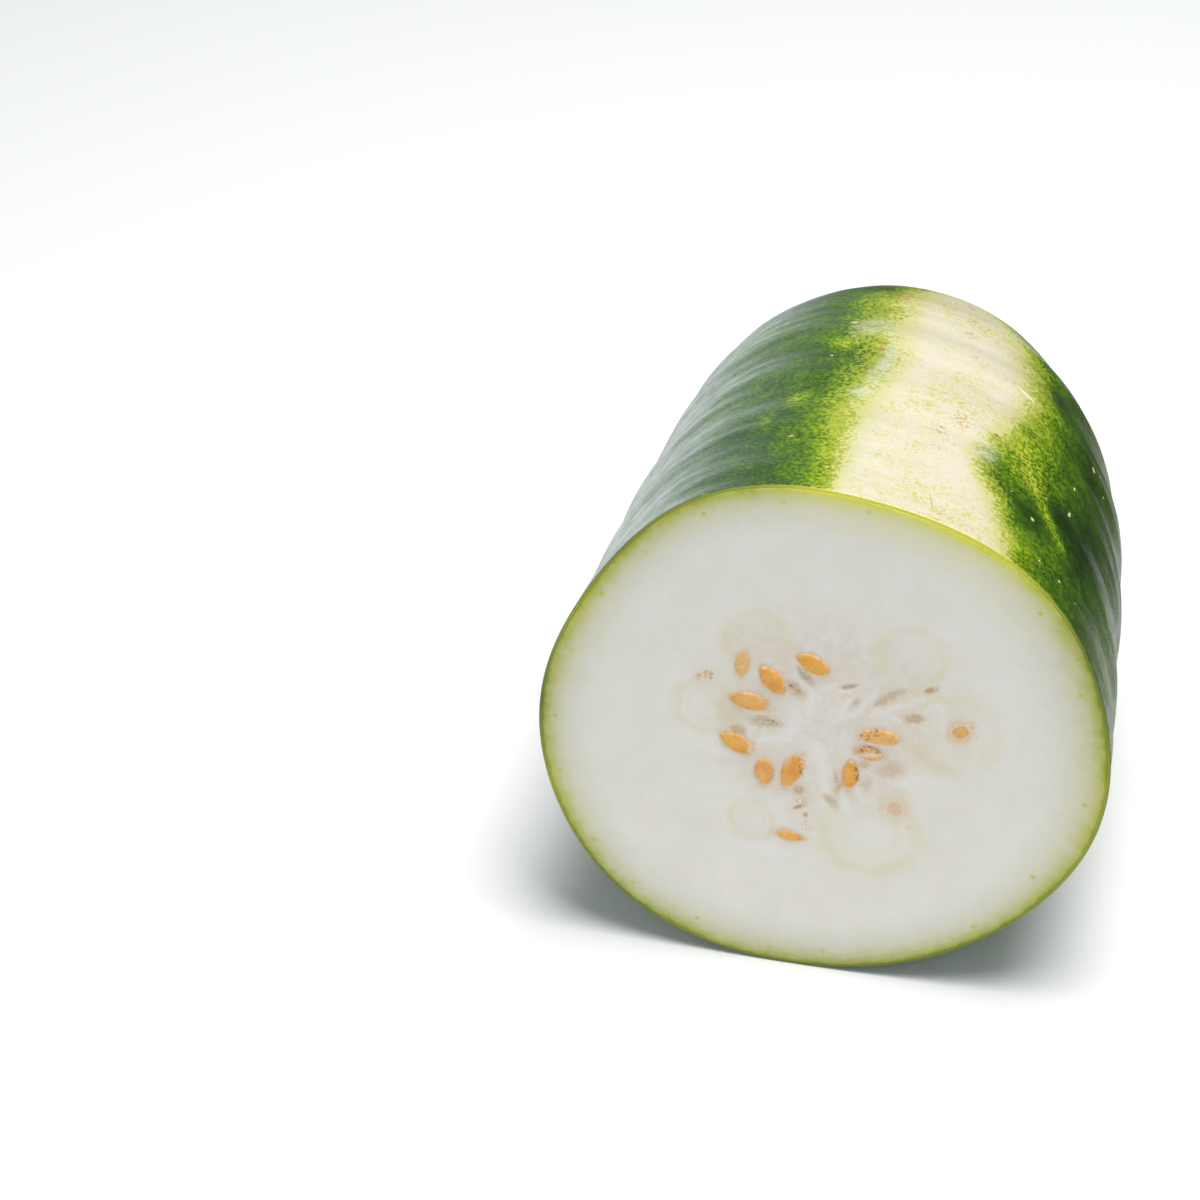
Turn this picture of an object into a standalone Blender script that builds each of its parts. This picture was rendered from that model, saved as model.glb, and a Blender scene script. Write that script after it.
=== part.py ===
"""Half a winter melon, cut across, as one grown solid: rind, flesh, spongy middle and seeds.

The half lies on its side. Its cut face looks to -Y and leans up by a few degrees, and its
blossom end is at +Y. It rests on a small flat spot. Units are metres, +Z is up, and the origin
is the bottom centre of the bounding box.

The melon is first modelled in its own growing frame: the axis runs along +Y from the centre of
the cut face, X is to the right and Z is up on the cut face, which lies exactly at Y = 0.
"""

from math import radians

import bmesh
import bpy
import numpy as np
from mathutils import Euler, Matrix, Vector

# Driving dimensions of the body
CUT_RADIUS = 0.090
HALF_LENGTH = 0.220
TAPER = 0.150
END_SQUARENESS = 5.5
END_ROUNDNESS = 2.2

# How the axis wanders from a straight line, as shares of the half's length
SIDE_LEAN = 0.040
SIDE_BEND = -0.055
UPWARD_BEND = 0.010

# The cut's outline isn't a true circle: cosine and sine share of the radius for each wave number
OUTLINE_WAVES = {
    2: (-0.006, 0.015),
    3: (0.011, -0.009),
    4: (-0.004, 0.004),
    5: (-0.005, -0.004),
    6: (0.004, -0.005),
}
FURTHEST_OUTLINE_SHARE = 0.3

# Broad swells and dips of the rind: degrees round the axis, distance along it, reach, height
SWELLS = (
    (12, 0.117, 0.024, 0.0010),
    (43, 0.168, 0.024, -0.0010),
    (156, 0.106, 0.018, -0.0008),
    (2, 0.060, 0.018, -0.0006),
    (262, 0.150, 0.026, 0.0008),
    (205, 0.070, 0.030, 0.0006),
)

# Shallow waves that run round the rind, parallel to the cut
WAVE_LENGTH = 0.036
WAVE_HEIGHT = 0.00035
WAVE_FADE_IN = 0.020
UNDERSIDE_REACH = radians(24)

# Blossom end: a shallow dimple with a low corky scar in it
DIMPLE_RADIUS = 0.013
DIMPLE_DEPTH = 0.0018
SCAR_RADIUS = 0.0042
SCAR_HEIGHT = 0.0009
TIP_RING_RADII = (0.0, 0.0030, 0.0052, 0.0085, 0.0130, 0.0180)

# How the half stands
FACE_LEAN = radians(4.5)
CUT_CENTRE = Vector((-0.0005, -0.1060, 0.0891))

# Fineness of the mesh
STEPS_ROUND = 84
RING_SPACING = 0.0083
SEED_SEGMENTS = (12, 6)
HOLLOW_SEGMENTS = (10, 5)

# Seeds in the cut: right, up, length, width, turn in degrees, how far they stand out
SEED_THICKNESS = 0.0029
SEED_POINTEDNESS = 0.34
SEEDS = (
    (-0.0033, 0.0282, 0.0116, 0.0064, 153, 0.0012),
    (-0.0156, 0.0203, 0.0116, 0.0066, 130, 0.0013),
    (-0.0251, 0.0246, 0.0103, 0.0059, -94, 0.0006),
    (-0.0224, 0.0113, 0.0125, 0.0066, 174, 0.0013),
    (-0.0258, -0.0049, 0.0117, 0.0066, 153, 0.0013),
    (-0.0165, -0.0146, 0.0102, 0.0064, -84, 0.0012),
    (-0.0079, -0.0129, 0.0136, 0.0064, -107, 0.0012),
    (0.0189, 0.0043, 0.0128, 0.0064, 4, 0.0012),
    (0.0164, -0.0022, 0.0092, 0.0056, -9, 0.0009),
    (0.0105, -0.0109, 0.0106, 0.0053, 88, 0.0013),
    (0.0429, 0.0106, 0.0064, 0.0052, 40, 0.0005),
    (0.0253, -0.0222, 0.0096, 0.0074, -78, 0.0005),
    (-0.0071, -0.0380, 0.0098, 0.0042, -6, 0.0008),
)

# Hollows between the strands of the middle: right, up, length, width, turn in degrees, depth
HOLLOWS = (
    (-0.0055, 0.0234, 0.0105, 0.0039, -52, 0.0022),
    (-0.0083, 0.0177, 0.0111, 0.0068, -48, 0.0032),
    (-0.0167, 0.0039, 0.0130, 0.0065, -5, 0.0032),
    (0.0079, 0.0212, 0.0077, 0.0026, 23, 0.0020),
    (0.0104, 0.0152, 0.0072, 0.0036, 56, 0.0024),
    (0.0204, 0.0188, 0.0148, 0.0045, 40, 0.0030),
    (0.0288, 0.0127, 0.0082, 0.0058, 21, 0.0028),
    (0.0228, -0.0076, 0.0136, 0.0078, 38, 0.0030),
    (0.0157, -0.0146, 0.0100, 0.0043, 77, 0.0028),
    (0.0049, -0.0227, 0.0088, 0.0040, -50, 0.0024),
    (-0.0054, -0.0202, 0.0054, 0.0045, 80, 0.0020),
    (-0.0048, -0.0264, 0.0062, 0.0024, 33, 0.0018),
    (0.0332, 0.0242, 0.0064, 0.0032, 27, 0.0018),
)

# The flat spot is made by a block under the surface that the half rests on
FLOOR_BLOCK_SIZE = Vector((0.080, 0.260, 0.020))

RIND_SLOT = 0
FLESH_SLOT = 1


def clear_scene():
    for old_object in list(bpy.data.objects):
        bpy.data.objects.remove(old_object, do_unlink=True)


def new_collection(name):
    collection = bpy.data.collections.new(name)
    bpy.context.scene.collection.children.link(collection)
    return collection


def principled(name, colour, roughness, subsurface=0.0):
    material = bpy.data.materials.new(name)
    material.use_nodes = True
    shader = material.node_tree.nodes["Principled BSDF"]
    shader.inputs["Base Color"].default_value = (*colour, 1.0)
    shader.inputs["Roughness"].default_value = roughness
    shader.inputs["Metallic"].default_value = 0.0
    shader.inputs["Subsurface Weight"].default_value = subsurface
    shader.inputs["Subsurface Scale"].default_value = 0.004
    material.diffuse_color = (*colour, 1.0)
    return material


def rind_material():
    return principled("rind", (0.085, 0.160, 0.050), 0.38)


def flesh_material():
    return principled("flesh", (0.700, 0.690, 0.630), 0.45, subsurface=0.3)


def seed_material():
    return principled("seed", (0.640, 0.360, 0.110), 0.50, subsurface=0.1)


def add_object(name, mesh, collection):
    new = bpy.data.objects.new(name, mesh)
    collection.objects.link(new)
    return new


def evaluated_mesh(source):
    """A copy of the object's mesh with all its modifiers applied."""
    depsgraph = bpy.context.evaluated_depsgraph_get()
    return bpy.data.meshes.new_from_object(source.evaluated_get(depsgraph))


def side_profile():
    """Radius and distance along the axis, evenly spaced from the blossom end to the rim."""
    share = np.sin(np.linspace(0.5 * np.pi, 0.0, 4000))
    along = HALF_LENGTH * share
    radius = CUT_RADIUS * (1 - TAPER * share)
    radius *= np.clip(1 - share ** END_SQUARENESS, 0, None) ** (1 / END_ROUNDNESS)
    travelled = np.concatenate(([0.0], np.cumsum(np.hypot(np.diff(radius), np.diff(along)))))
    tip = np.interp(TIP_RING_RADII, radius[:3000], travelled[:3000])
    ring_count = int((travelled[-1] - tip[-1]) / RING_SPACING)
    stops = np.concatenate((tip, np.linspace(tip[-1], travelled[-1], ring_count + 1)[1:]))
    return np.interp(stops, travelled, radius), np.interp(stops, travelled, along)


def turned_body(collection):
    """The melon as a turned shape: the side profile screwed round Z, its cut end filled flat."""
    radii, heights = side_profile()
    points = [(radius, 0.0, height) for radius, height in zip(radii, heights)]
    edges = [(i, i + 1) for i in range(len(points) - 1)]
    profile = bpy.data.meshes.new("winter_melon_profile")
    profile.from_pydata(points, edges, [])
    body = add_object("winter_melon_half", profile, collection)
    screw = body.modifiers.new("turn", "SCREW")
    screw.axis = "Z"
    screw.steps = STEPS_ROUND
    screw.render_steps = STEPS_ROUND
    screw.use_merge_vertices = True
    screw.merge_threshold = 0.00005
    turned = evaluated_mesh(body)
    body.modifiers.clear()
    body.data = turned
    bpy.data.meshes.remove(profile)

    work = bmesh.new()
    work.from_mesh(turned)
    bmesh.ops.holes_fill(work, edges=[edge for edge in work.edges if edge.is_boundary])
    bmesh.ops.recalc_face_normals(work, faces=work.faces)
    work.to_mesh(turned)
    work.free()
    return body


def outline_factor(angle):
    factor = np.ones_like(angle)
    for wave_number, (cosine, sine) in OUTLINE_WAVES.items():
        factor += cosine * np.cos(wave_number * angle) + sine * np.sin(wave_number * angle)
    return factor


def swell_height(angle, along):
    """Height added to the rind by the broad swells and by the waves that run round it."""
    height = np.zeros_like(angle)
    for degrees_round, place, reach, top in SWELLS:
        turn = np.angle(np.exp(1j * (angle - radians(degrees_round))))
        distance = np.hypot(CUT_RADIUS * turn, along - place)
        height += top * np.exp(-((distance / reach) ** 2))
    phase = 2 * np.pi * along / WAVE_LENGTH + 0.8 * np.sin(2 * angle) + 0.5 * np.sin(5 * angle + 1)
    fade = 1 - np.exp(-((along / WAVE_FADE_IN) ** 2))
    from_below = np.angle(np.exp(1j * (angle + 0.5 * np.pi)))
    underside = np.exp(-((from_below / UNDERSIDE_REACH) ** 2))
    return (1 - underside) * (height + WAVE_HEIGHT * fade * np.sin(phase))


def tip_relief(radius):
    """Depth of the blossom end's dimple, less the height of the scar in its middle."""
    dimple = DIMPLE_DEPTH * np.exp(-((radius / DIMPLE_RADIUS) ** 2))
    scar = SCAR_HEIGHT / (1 + np.exp((radius - SCAR_RADIUS) / (0.12 * SCAR_RADIUS)))
    return dimple - scar


def grow(mesh):
    """Bend and swell the turned shape into the melon, with its axis now along +Y."""
    flat = np.empty(3 * len(mesh.vertices))
    mesh.vertices.foreach_get("co", flat)
    place = flat.reshape(-1, 3)
    right, up, along = place[:, 0], -place[:, 1], place[:, 2]
    share = along / HALF_LENGTH
    radius = np.hypot(right, up)
    angle = np.arctan2(up, right)
    lasting = np.clip(1 - share, FURTHEST_OUTLINE_SHARE, 1)
    factor = 1 + (outline_factor(angle) - 1) * lasting
    full = np.clip(radius / (0.3 * CUT_RADIUS), 0, 1)
    new_radius = radius * factor + swell_height(angle, along) * full
    wander_right = HALF_LENGTH * (SIDE_LEAN * share + SIDE_BEND * share ** 2)
    wander_up = HALF_LENGTH * UPWARD_BEND * share ** 2
    on_tip = along > 0.5 * HALF_LENGTH
    grown = np.column_stack((
        new_radius * np.cos(angle) + wander_right,
        along - np.where(on_tip, tip_relief(radius), 0.0),
        new_radius * np.sin(angle) + wander_up,
    ))
    mesh.vertices.foreach_set("co", grown.ravel())
    mesh.update()


def colour_faces(body):
    """Rind all round, flesh on the cut."""
    body.data.materials.append(rind_material())
    body.data.materials.append(flesh_material())
    for face in body.data.polygons:
        on_cut = abs(face.center.y) < 1e-6 and face.normal.y < -0.99
        face.material_index = FLESH_SLOT if on_cut else RIND_SLOT


def face_place(right, up, out, turn):
    """Matrix of a small shape lying in the cut, its length turned up from the right."""
    lying = Matrix.Rotation(radians(90), 4, "X") @ Matrix.Rotation(radians(turn), 4, "Z")
    return Matrix.Translation((right, -out, up)) @ lying


def ellipsoid(segments, length, width, thickness):
    shape = bmesh.new()
    bmesh.ops.create_uvsphere(shape, u_segments=segments[0], v_segments=segments[1], radius=0.5)
    bmesh.ops.scale(shape, vec=(length, width, thickness), verts=shape.verts)
    return shape


def seed_shape(length, width):
    """A flat oval seed, narrower towards one end."""
    shape = ellipsoid(SEED_SEGMENTS, length, width, SEED_THICKNESS)
    for vertex in shape.verts:
        towards_point = max(0.0, vertex.co.x / (0.5 * length))
        vertex.co.y *= 1 - SEED_POINTEDNESS * towards_point
    return shape


def object_from(shape, name, material, matrix, collection):
    mesh = bpy.data.meshes.new(name)
    bmesh.ops.transform(shape, matrix=matrix, verts=shape.verts)
    shape.to_mesh(mesh)
    shape.free()
    mesh.materials.append(material)
    return add_object(name, mesh, collection)


def add_seeds(collection):
    material = seed_material()
    for number, (right, up, length, width, turn, proud) in enumerate(SEEDS):
        centre_out = proud - 0.5 * SEED_THICKNESS
        matrix = face_place(right, up, centre_out, turn)
        object_from(seed_shape(length, width), f"seed_{number:02d}", material, matrix, collection)


def add_hollows(collection, material):
    for number, (right, up, length, width, turn, depth) in enumerate(HOLLOWS):
        shape = ellipsoid(HOLLOW_SEGMENTS, length, width, 2 * depth)
        matrix = face_place(right, up, 0.0, turn)
        object_from(shape, f"hollow_{number:02d}", material, matrix, collection)


def combine(body, operation, collection):
    """Boolean of the body with all of a collection, applied, after which that is removed."""
    boolean = body.modifiers.new(collection.name, "BOOLEAN")
    boolean.operation = operation
    boolean.operand_type = "COLLECTION"
    boolean.collection = collection
    boolean.solver = "EXACT"
    boolean.material_mode = "TRANSFER"
    combined = evaluated_mesh(body)
    old_mesh = body.data
    body.modifiers.clear()
    body.data = combined
    bpy.data.meshes.remove(old_mesh)
    for used in list(collection.objects):
        bpy.data.objects.remove(used, do_unlink=True)
    bpy.data.collections.remove(collection)


def cut_flat_spot(body, cutters):
    """Level the lowest strip of the rind, so that the half rests on a small flat spot."""
    block = bmesh.new()
    bmesh.ops.create_cube(block, size=1.0)
    bmesh.ops.scale(block, vec=FLOOR_BLOCK_SIZE, verts=block.verts)
    below = Matrix.Translation((0.0, 0.0, -0.5 * FLOOR_BLOCK_SIZE.z))
    cutter = object_from(block, "floor_block", body.data.materials[RIND_SLOT], below, cutters)
    cutter.display_type = "WIRE"
    cutter.hide_render = True
    boolean = body.modifiers.new("flat_spot", "BOOLEAN")
    boolean.operation = "DIFFERENCE"
    boolean.object = cutter
    boolean.solver = "EXACT"


def stand(body):
    """Lean the cut face up a little and bring the half over the origin."""
    body.rotation_euler = Euler((-FACE_LEAN, 0.0, 0.0))
    body.location = CUT_CENTRE


def build():
    clear_scene()
    melon = new_collection("winter_melon")
    cutters = new_collection("cutters")
    body = turned_body(melon)
    grow(body.data)
    colour_faces(body)

    hollows = new_collection("hollows")
    add_hollows(hollows, body.data.materials[FLESH_SLOT])
    combine(body, "DIFFERENCE", hollows)
    seeds = new_collection("seeds")
    add_seeds(seeds)
    combine(body, "UNION", seeds)

    body.data.shade_smooth()
    body.data.set_sharp_from_angle(angle=radians(35))
    stand(body)
    cut_flat_spot(body, cutters)


build()
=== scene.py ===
"""The looks of half a winter melon, cut across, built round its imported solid.

The cut face looks to -Y and leans up by a few degrees, and the blossom end is at +Y. Units are
metres and +Z is up. Each piece is first worked out in the melon's own growing frame: the axis
runs along +Y from the cut, which lies at Y = 0, with X to the right and Z up on the cut. Its
points are then brought into the part's frame, so every object keeps the part's own origin.
"""

from functools import reduce
from math import radians

import bpy
import numpy as np
from mathutils import Matrix, Vector, noise


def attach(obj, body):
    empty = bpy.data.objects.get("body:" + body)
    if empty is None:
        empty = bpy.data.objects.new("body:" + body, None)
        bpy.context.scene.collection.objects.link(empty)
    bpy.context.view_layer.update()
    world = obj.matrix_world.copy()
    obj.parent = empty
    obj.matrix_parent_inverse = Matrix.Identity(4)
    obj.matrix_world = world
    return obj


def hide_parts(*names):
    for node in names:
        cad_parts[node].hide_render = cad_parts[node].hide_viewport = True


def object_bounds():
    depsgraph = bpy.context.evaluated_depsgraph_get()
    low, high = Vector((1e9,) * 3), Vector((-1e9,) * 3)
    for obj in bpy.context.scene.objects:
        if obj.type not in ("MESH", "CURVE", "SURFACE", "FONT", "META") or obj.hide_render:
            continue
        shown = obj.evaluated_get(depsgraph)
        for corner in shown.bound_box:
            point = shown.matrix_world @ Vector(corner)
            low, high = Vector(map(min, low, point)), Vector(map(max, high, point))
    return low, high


def from_millimetres(columns, *rows):
    """The rows of a table, with the numbers in the given columns brought into metres."""
    return [
        [0.001 * number if column in columns else number for column, number in enumerate(row)]
        for row in rows
    ]


def core_ovals(*rows):
    return from_millimetres((0, 1, 2, 3), *rows)


def skin_ovals(*rows):
    return from_millimetres((1, 2, 3), *rows)


# Driving dimensions of the body, as in the part's source
CUT_RADIUS = 0.09
HALF_LENGTH = 0.22
TAPER = 0.15
END_SQUARENESS = 5.5
END_ROUNDNESS = 2.2
SIDE_LEAN = 0.04
SIDE_BEND = -0.055
UPWARD_BEND = 0.01

# Waves of the cut's outline: how many round it, cosine part, sine part
OUTLINE_WAVES = {
    2: (-0.006, 0.015), 3: (0.011, -0.009), 4: (-0.004, 0.004), 5: (-0.005, -0.004),
    6: (0.004, -0.005),
}
FURTHEST_OUTLINE_SHARE = 0.3

# Swells of the body: bearing in degrees, distance along, reach, height
SWELLS = skin_ovals(
    (12, 117, 24, 1), (43, 168, 24, -1), (156, 106, 18, -0.8), (2, 60, 18, -0.6),
    (262, 150, 26, 0.8), (205, 70, 30, 0.6),
)

# Shallow waves along the body, the dimple and scar of its end, and how the cut stands
WAVE_LENGTH = 0.036
WAVE_HEIGHT = 0.00035
WAVE_FADE_IN = 0.02
UNDERSIDE_REACH = radians(24)
DIMPLE_RADIUS = 0.013
DIMPLE_DEPTH = 0.0018
SCAR_RADIUS = 0.0042
SCAR_HEIGHT = 0.0009
SCAR_EDGE = 0.12 * SCAR_RADIUS
EVEN_TIP_RADIUS = 0.3 * CUT_RADIUS
FACE_LEAN = radians(4.5)
CUT_CENTRE = Vector((-0.0005, -0.106, 0.0891))
GROWING_TO_PART = Matrix.Translation(CUT_CENTRE) @ Matrix.Rotation(-FACE_LEAN, 4, "X")
TIP_RIGHT = HALF_LENGTH * (SIDE_LEAN + SIDE_BEND)
TIP_UP = HALF_LENGTH * UPWARD_BEND

# Fineness of the meshes
PROFILE_STEPS = 4000
RIND_STEPS = 400
RIND_RINGS = 190
INNER_RINGS = 12
EDGE_RINGS = 5
FLESH_STEPS = 480
CORE_RINGS = 112
OUTER_RINGS = 36
FLESH_BACK_RINGS = 24
SEED_STEPS = 48
SEED_RINGS = 14
MARK_STEPS = 20

# The skin: how thick it shows in the cut, how far its fine surface keeps inside the solid, the
# rounding of its edge, where its waves fade in, the least radius at which a turn is measured
SKIN_THICKNESS = 0.001
SKIN_INSET = 0.00012
EDGE_ROUNDING = 0.00035
SKIN_WAVE_FADE_IN = 0.006
SMALLEST_TURN_RADIUS = 0.02

# Fine waves of the skin: wave length along and round the melon, height
SKIN_WAVES = (
    (0.015, 0.07, 0.0004),
    (0.0064, 0.03, 0.00034),
)

# How evenly green the skin is, from 0, speckled, to 1, calm: places round it
# Where it is calmest, above 0.6, a thin painted bluish reflection haze is also laid over the green
CALM_ANGLES = (-180, -120, -60, 0, 30, 62, 80, 95, 110, 130, 180)
CALMNESS = (0.9, 0.8, 0.8, 0.7, 0.5, 0.3, 0.4, 0.5, 0.8, 1.0, 0.9)

# Border of the pale ground spot on its left and right: distance along, bearing in degrees
SPOT_LEFT = from_millimetres((0,),
    (0, 91), (20, 91), (40, 91.5), (60, 91), (80, 90), (100, 89), (120, 90.5), (140, 89.5),
    (150, 88.5), (160, 86.5), (170, 85), (180, 84), (200, 80),
)
SPOT_RIGHT = from_millimetres((0,),
    (0, 56.5), (10, 58), (20, 59.3), (30, 61.3), (40, 63.3), (50, 65), (56, 65.3), (60, 63.5),
    (70, 62), (80, 60), (90, 58), (100, 56), (108, 54.5), (115, 56.5), (130, 56.5), (145, 57.5),
    (157, 60), (170, 63), (185, 67), (200, 72),
)
SPOT_END = 0.197
SPOT_LIMIT = 0.03

# How wide the border of the spot is, from 0 to 1, along its left and along its right
SOFT_LEFT = ((0.0, 0.3), (0.025, 0.4), (0.05, 0.6), (0.08, 0.8), (0.15, 0.9), (0.2, 0.6))
SOFT_RIGHT = ((0.0, 0.4), (0.03, 0.5), (0.06, 0.4), (0.08, 0.6), (0.11, 0.6), (0.15, 0.8))

# Lighter, yellower parts of the green, or darker ones where the last number is negative: bearing in
# degrees, distance along, length, width, turn in degrees, amount
TINTS = skin_ovals(
    (51, 53.5, 13, 6, 78, 0.26), (48.3, 43, 13, 5.5, 60, 0.3), (44, 36, 12, 5.2, 38, 0.32),
    (54.5, 68, 26, 32, 0, 0.26), (53.5, 54, 14, 18, 0, 0.12), (49, 100, 12, 40, 0, 0.12),
    (44.5, 48, 12, 14, 0, -0.24), (55, 36, 30, 11, 22, -0.24), (51.5, 27, 10, 12, 0, -0.1),
    (50, 8, 20, 20, 0, 0.1), (42, 98, 24, 60, 0, -0.06), (36, 45, 20, 30, 0, -0.2),
    (31, 90, 22, 80, 0, -0.15), (46.5, 125, 16, 20, 0, -0.22), (53, 140, 14, 34, 0, 0.14),
    (105.5, 63, 7, 9, 0, 0.35), (100.5, 106.5, 10, 7, 20, 0.3), (98.5, 61.5, 6, 6, 0, 0.3),
    (95.5, 57, 7, 18, 0, 0.22), (110, 48, 6, 8, 0, 0.22), (97, 146, 12, 30, 0, 0.16),
    (94.5, 15, 10, 60, 0, 0.16),
)

# Whitish wax on the skin: bearing in degrees, distance along, length, width, turn, amount
WAX_PATCHES = skin_ovals(
    (64.2, 56.5, 7, 11, 0, 0.9), (92.8, 70, 5, 11, 20, 0.8), (89.6, 95, 4, 34, 4, 0.8),
    (94.5, 121, 10, 14, 30, 0.8), (88.6, 35, 6, 50, 0, 0.5), (91, 84, 4, 12, 0, 0.6),
)

# The flesh: its spongy core, the finely meshed share of the cut, where its relief fades in, and
# how far its hidden side keeps inside the skin
CORE_CENTRE = np.array((0.0015, 0.0096))
CORE_RADIUS = 0.045
CORE_MESH_SHARE = 0.58
RELIEF_FADE_IN = 0.0015
GAP_BEHIND_SKIN = 0.0001
END_GAP = 0.0012
FLESH_TIP_INSET = 0.0015

# How wide the green rim of the cut is, and its share of that at places round it
RIM_REACH = 0.02
RIM_REACH_ANGLES = (-180, -60, -30, 0, 35, 60, 90, 180)
RIM_REACHES = (1.0, 1.0, 1.1, 1.3, 1.3, 1.0, 1.0, 1.0)

# Seeds in the cut: right, up, length, width, turn of the pointed end in degrees, how far each
# stands out, and how much of it is veiled by flesh
SEED_THICKNESS = 0.0029
SEED_POINTEDNESS = 0.34
SEEDS = from_millimetres((0, 1, 2, 3, 5),
    (-3.3, 28.2, 11.6, 6.4, 153, 1.2, 0.05), (-15.6, 20.3, 11.6, 6.6, 130, 1.3, 0.1),
    (-25.1, 24.6, 10.3, 5.9, -94, 0.6, 0.35), (-22.4, 11.3, 12.5, 6.6, 174, 1.3, 0.2),
    (-25.8, -4.9, 11.7, 6.6, 153, 1.3, 0.05), (-16.5, -14.6, 10.2, 6.4, -84, 1.2, 0.2),
    (-7.9, -12.9, 13.6, 6.4, -107, 1.2, 0.1), (18.9, 4.3, 12.8, 6.4, 4, 1.2, 0.25),
    (16.4, -2.2, 9.2, 5.6, -9, 0.9, 0.3), (10.5, -10.9, 10.6, 5.3, 88, 1.3, 0.05),
    (42.9, 10.6, 8.4, 7.4, 40, 0.4, 0.22), (25.3, -22.2, 10.2, 8.6, -78, 0.3, 0.6),
    (-7.1, -38, 9.8, 4.2, -6, 0.8, 0.2),
)

# Noise of the cut's surface: wave length, offset
FINE_GRAIN = (0.0016, 5.1)
MEDIUM_GRAIN = (0.0045, 8.3)
BROAD_GRAIN = (0.014, 2.9)

# Hollows between the strands of the core: right, up, length, width, turn in degrees, how brown
HOLLOWS = core_ovals(
    (-5.5, 23.4, 10.5, 3.9, -52, 0.8), (-8.3, 17.7, 11.1, 6.8, -48, 0.9),
    (-16.7, 3.9, 13, 6.5, -5, 0.85), (7.9, 21.2, 7.7, 2.6, 23, 0.6),
    (10.4, 15.2, 7.2, 3.6, 56, 0.6), (20.4, 18.8, 14.8, 4.5, 40, 0.8),
    (28.8, 12.7, 8.2, 5.8, 21, 0.95), (22.8, -7.6, 13.6, 7.8, 38, 0.75),
    (15.7, -14.6, 10, 4.3, 77, 0.65), (4.9, -22.7, 8.8, 4, -50, 0.75),
    (-5.4, -20.2, 5.4, 4.5, 80, 0.9), (-4.8, -26.4, 6.2, 2.4, 33, 0.9),
    (33.2, 24.2, 6.4, 3.2, 27, 0.95),
)
HOLLOW_DEPTH = 0.0008

# Brown patches of the core that aren't hollow, as the hollows
BROWN_PATCHES = core_ovals(
    (6.6, 17.6, 5.1, 2.2, 21, 0.5), (7.3, -16.1, 6.9, 3.5, 69, 1), (6.2, -13.6, 2.5, 7.7, 10, 1),
    (-2.7, -29.1, 2.2, 3.1, 10, 1), (4.2, -33, 3.2, 3.1, 10, 0.35), (30.1, -28, 1.9, 2.3, 10, 0.5),
    (11.8, -2.2, 4.1, 4.9, 10, 0.95), (14.6, -6.7, 4.4, 3.8, 10, 0.85),
    (-25.4, -0.2, 6.2, 5, -21, 1.2),
)

# Ragged brown patches, each as the brown patches
RAGGED_PATCHES = core_ovals(
    (-38.3, 18.1, 4.4, 3.2, 20, 0.8), (-35.4, 19, 5.4, 4.6, -30, 0.8), (-26.8, 34.6, 8, 5, 20, 0.3),
    (-4, -23.5, 6, 5, 0, 0.6), (-1.8, -33, 4, 7, 0, 0.5), (18, 3, 12, 5, 0, 0.4),
)

# Warmer parts of the core, each as the brown patches
TAN_PATCHES = core_ovals(
    (-27.7, 34.6, 11.2, 9.5, 9, 0.5), (-18, 31, 17.4, 16.1, 9, 0.45),
    (-10.5, 30.3, 9.3, 12.4, 9, 0.45), (-28.8, 5.7, 8.9, 11.3, 10, 0.9),
    (6.6, 26.9, 17.3, 14.6, 9, 0.35), (-12.8, -13, 20.4, 16.9, 10, 0.7),
    (-3.9, -24.7, 10.9, 27.1, 10, 0.55), (19, 1.6, 21.8, 19.5, 10, 0.7),
    (9.9, -12.5, 14.5, 17.6, 10, 0.65), (21, 17.3, 31.5, 14.1, 32, 0.55),
    (30.9, 1, 10.5, 6.8, -21, 0.8), (38, -3.4, 12.3, 5.3, -17, 0.6),
    (43.1, 11, 11.7, 14.8, 10, 0.8), (25.3, -22.2, 12.6, 15.4, 10, 0.45),
    (-36.2, 18.4, 9.5, 9.7, 9, 0.4), (-7.1, -37.4, 12.9, 8.7, 10, 0.55), (-20, 16, 20, 16, 0, 0.45),
)

# Dark specks in the hollows and on the seeds, each as the brown patches
DARK_PATCHES = core_ovals(
    (-9, 18.7, 3.4, 3.2, 9, 1), (-7.3, 16.5, 2.4, 2.4, 9, 0.9), (-14.5, 3.9, 3.4, 2.7, 10, 1),
    (-16.6, 4.7, 2.4, 2, 10, 0.8), (14.2, 3.9, 3.2, 2.8, 10, 1), (17.5, 6.3, 2.7, 2.4, 10, 1),
    (13.3, -1.2, 2.6, 2, 10, 1), (15.8, -0.4, 2.2, 2, 10, 0.9), (18.6, -1.1, 1.9, 1.9, 10, 0.8),
    (-5, -10.9, 1.5, 7.2, 10, 1), (12.6, -10.5, 1.1, 8.4, 10, 1), (-5.6, -17.9, 2.4, 2.4, 10, 0.9),
    (-2.4, -29.1, 1.4, 1.7, 10, 0.9),
)

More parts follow.
